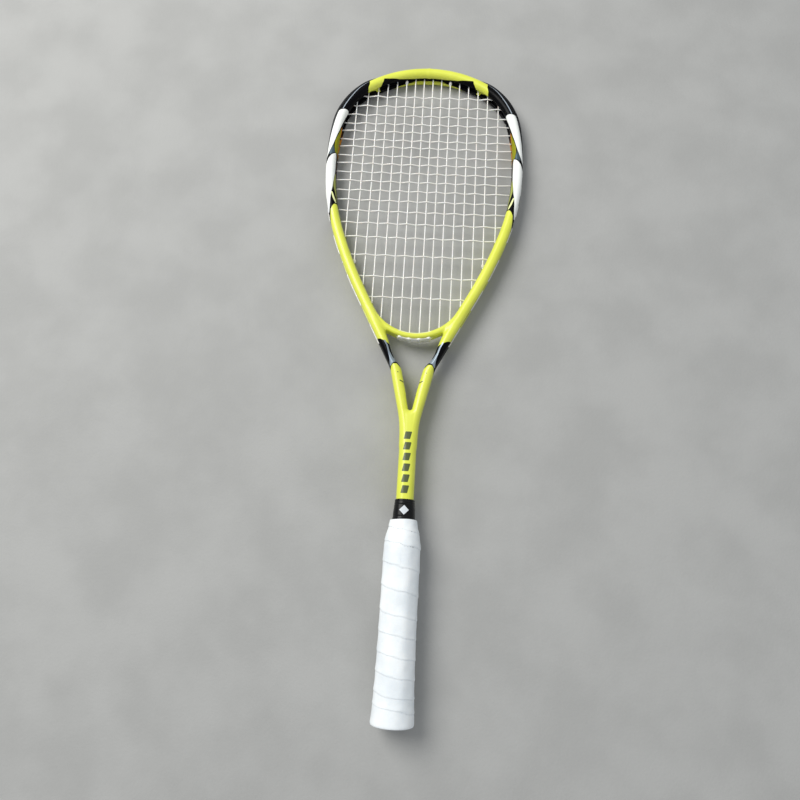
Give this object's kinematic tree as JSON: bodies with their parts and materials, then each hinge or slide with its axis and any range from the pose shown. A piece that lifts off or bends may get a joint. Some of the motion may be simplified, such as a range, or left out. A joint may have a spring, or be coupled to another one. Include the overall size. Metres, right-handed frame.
{
  "type": "squash racket",
  "caption": "Strung squash racket with a teardrop hoop, open throat, slim shaft and a white wrapped grip that flares at the butt.",
  "frame": {"origin": "centre of the flat end of the butt cap, in the plane of the strings", "axes": "+Y up the shaft to the tip of the head, +X across the strings, +Z out of the front face"},
  "size_m": [0.2162, 0.686, 0.0388],
  "materials": {
    "frame_paint": "gloss lacquer over graphite laminate, lemon-lime yellow with black and white panels",
    "black_nylon": "moulded nylon, satin",
    "white_nylon": "moulded nylon, satin, slightly translucent",
    "string": "multifilament nylon with a clear coat",
    "foam": "moulded polyurethane foam, matt",
    "cap_plastic": "moulded plastic, satin",
    "steel": "bright wire",
    "cushion": "cushioned polyurethane, matt",
    "overgrip": "thin felt-backed polyurethane wrap, soft matt, finely grained",
    "tape": "vinyl tape",
    "collar_rubber": "moulded rubber, satin"
  },
  "bodies": {
    "root": {"frame": "frame_paint", "bumper_guard": "black_nylon", "left_grommet_strip": "black_nylon", "right_grommet_strip": "black_nylon", "bridge_grommet_strip": "white_nylon", "main_string": "string", "cross_string": "string", "tie_off_knots": "string", "handle_core": "foam", "butt_cap": "cap_plastic", "butt_cap_staples": "steel", "base_grip": "cushion", "base_grip_tack": "steel", "overgrip": "overgrip", "finishing_tape": "tape", "grip_collar": "collar_rubber"}
  },
  "joints": []
}
